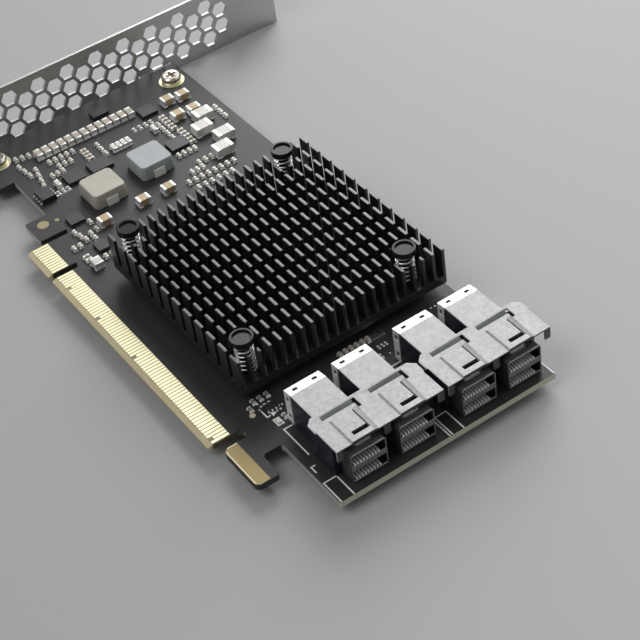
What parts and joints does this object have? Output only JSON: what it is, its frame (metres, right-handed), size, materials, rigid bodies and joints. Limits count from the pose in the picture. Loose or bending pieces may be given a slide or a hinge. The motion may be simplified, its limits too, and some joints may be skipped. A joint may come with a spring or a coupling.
{
  "type": "nvme adapter card",
  "caption": "Low-profile computer expansion card with a cross-cut heatsink, internal cable ports at its far end and a full-height vented bracket.",
  "frame": {"origin": "middle of the key notch, on the bottom line of the edge contacts, at the board's mid thickness", "axes": "+X from the bracket to the cable ports, +Y from the edge contacts to the card's top edge, +Z out of the component side; the card lies flat, component side up"},
  "size_m": [0.1753, 0.12, 0.0188],
  "materials": {
    "board": "matte black solder mask",
    "gold": "pale gold plating",
    "bracket_steel": "plain plated steel",
    "screw_steel": "bright plated steel",
    "heatsink_black": "satin black anodised",
    "thermal_grey": "soft matte pad",
    "lid_nickel": "matte nickel",
    "package_green": "matte laminate",
    "pin_black": "moulded nylon",
    "spring_steel": "bright wire",
    "housing_black": "moulded plastic",
    "nose_grey": "moulded plastic",
    "contact_silver": "plated contacts",
    "port_zinc": "speckled zinc grey sheet",
    "tin": "tinned",
    "inductor_grey": "pressed ferrite powder",
    "ceramic_tan": "matte ceramic",
    "ceramic_pale": "matte ceramic",
    "chip_black": "moulded epoxy",
    "oscillator_silver": "metal can"
  },
  "bodies": {
    "root": {"bank_capacitor_bodies": "ceramic_pale", "bank_capacitor_ends": "tin", "bracket": "bracket_steel", "bracket_screws": "screw_steel", "chip_leads": "tin", "circuit_board": "board", "edge_contacts_bottom": "gold", "edge_contacts_top": "gold", "heatsink": "heatsink_black", "hook_plating": "gold", "inductor_bodies": "inductor_grey", "inductor_terminals": "tin", "input_capacitor_bodies": "ceramic_tan", "input_capacitor_ends": "tin", "large_capacitor_bodies": "ceramic_pale", "large_capacitor_ends": "tin", "logic_chips": "chip_black", "memory_chip": "chip_black", "mounting_rings": "gold", "oscillator": "oscillator_silver", "pair_1_bezel": "port_zinc", "pair_1_tails": "tin", "pair_2_bezel": "port_zinc", "pair_2_tails": "tin", "port_1_clip": "port_zinc", "port_1_contacts": "contact_silver", "port_1_housing": "housing_black", "port_1_nose": "nose_grey", "port_1_shell": "port_zinc", "port_2_clip": "port_zinc", "port_2_contacts": "contact_silver", "port_2_housing": "housing_black", "port_2_nose": "nose_grey", "port_2_shell": "port_zinc", "port_3_clip": "port_zinc", "port_3_contacts": "contact_silver", "port_3_housing": "housing_black", "port_3_nose": "nose_grey", "port_3_shell": "port_zinc", "port_4_clip": "port_zinc", "port_4_contacts": "contact_silver", "port_4_housing": "housing_black", "port_4_nose": "nose_grey", "port_4_shell": "port_zinc", "push_pin_springs": "spring_steel", "push_pins": "pin_black", "regulator_chips": "chip_black", "resistor_bodies": "chip_black", "resistor_ends": "tin", "small_capacitor_bodies": "ceramic_tan", "small_capacitor_ends": "tin", "small_regulator": "chip_black", "solder_side_capacitor_bodies": "ceramic_tan", "solder_side_capacitor_ends": "tin", "switch_chip_lid": "lid_nickel", "switch_chip_package": "package_green", "tan_capacitor_bodies": "ceramic_tan", "tan_capacitor_ends": "tin", "test_pads": "gold", "thermal_pad": "thermal_grey"}
  },
  "joints": []
}
